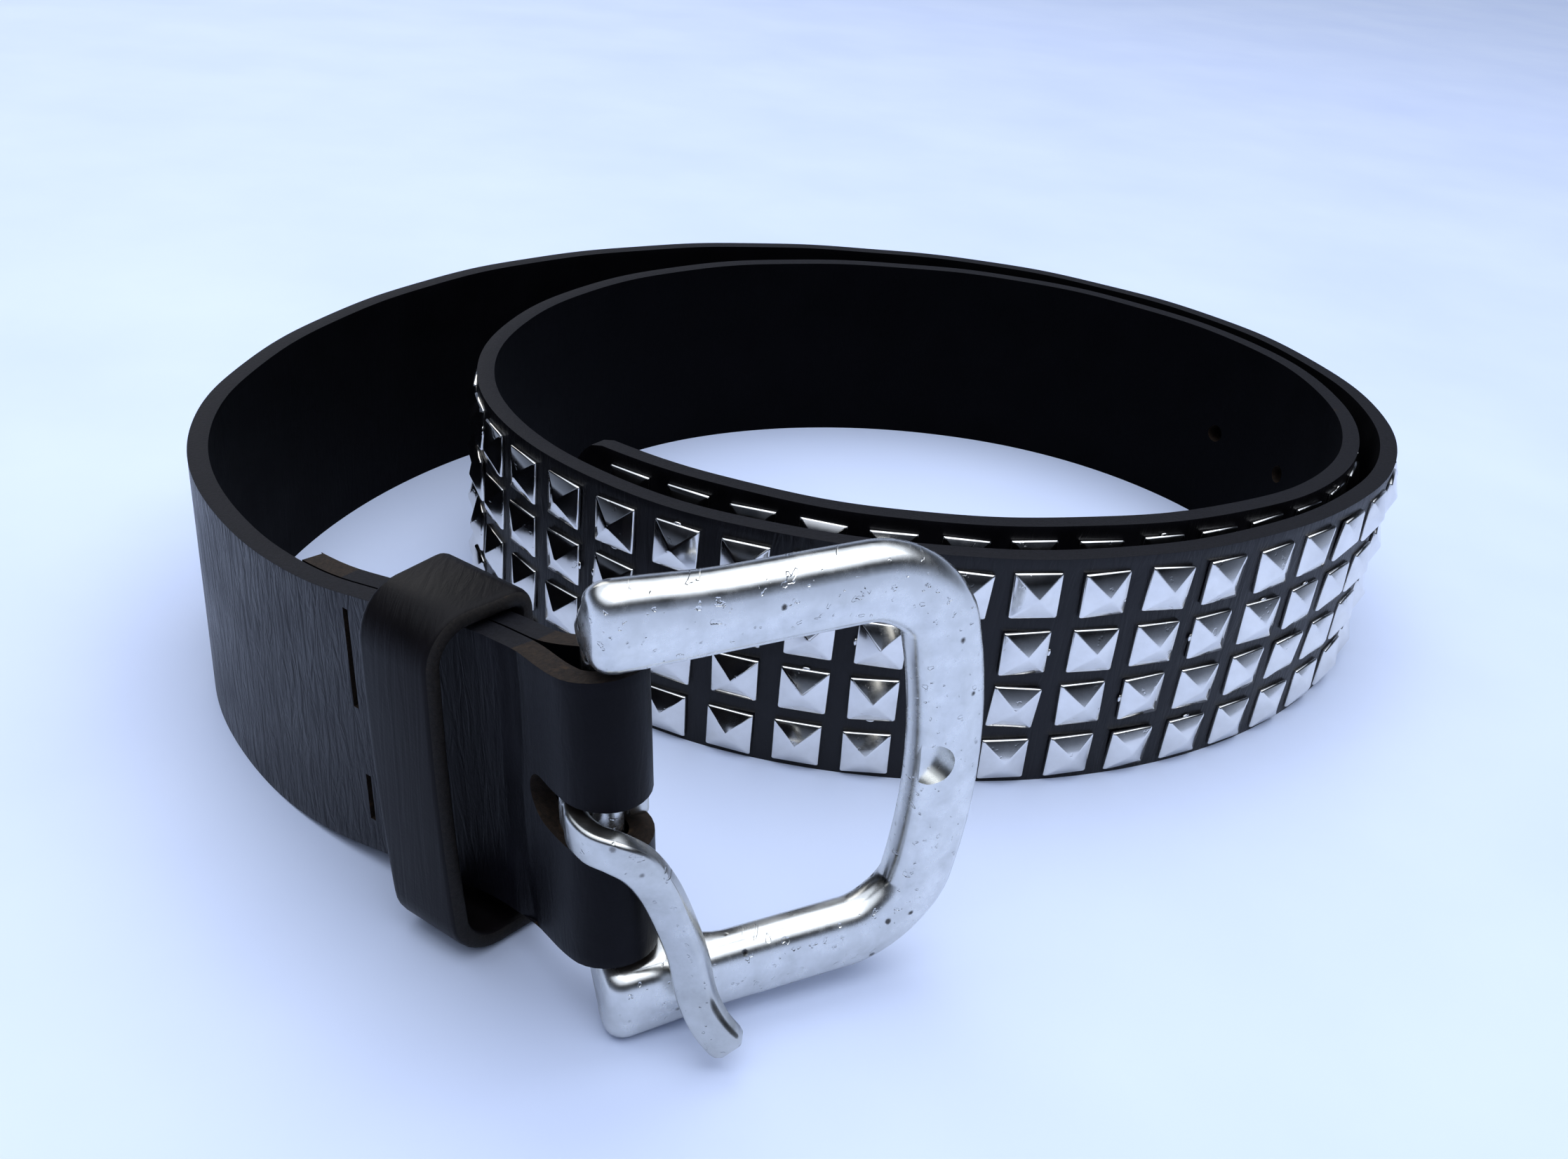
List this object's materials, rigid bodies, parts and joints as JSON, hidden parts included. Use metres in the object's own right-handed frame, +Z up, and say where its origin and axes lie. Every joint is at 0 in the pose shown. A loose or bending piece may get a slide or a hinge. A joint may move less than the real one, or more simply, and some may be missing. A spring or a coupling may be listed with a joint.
{
  "type": "studded leather belt",
  "caption": "Leather belt with rows of pyramid studs, a keeper and a cast heel-bar buckle, standing on its edge in a double coil.",
  "frame": {"origin": "bottom centre of the whole belt's box, on the surface that it stands on", "axes": "+Z up across the strap's width, -Y towards the buckle's side of the coil, +X to the right seen from there"},
  "size_m": [0.197, 0.2026, 0.06],
  "materials": {
    "strap_leather": "smooth black, wrinkled across the width, satin",
    "stud_metal": "nickel-plated pressed pyramids",
    "keeper_leather": "smooth black, satin, raw brown edge",
    "buckle_metal": "worn silver-coloured plating, pitted and scratched",
    "prong_metal": "worn silver-coloured plating"
  },
  "bodies": {
    "belt": {"strap": "strap_leather", "keeper": "keeper_leather"},
    "frame": {"buckle_frame": "buckle_metal"},
    "prong_body": {"prong": "prong_metal"}
  },
  "joints": [
    {"name": "buckle_swing", "type": "hinge", "parent": "belt", "child": "frame", "pos_m": [-0.02332, -0.09238, 0.02945], "axis": [-0.0599, 0, 0.9982], "range_deg": [-45, 30]},
    {"name": "prong_swing", "type": "hinge", "parent": "frame", "child": "prong_body", "pos_m": [-0.02332, -0.09238, 0.02945], "axis": [0.0599, 0, -0.9982], "range_deg": [0, 45]}
  ]
}
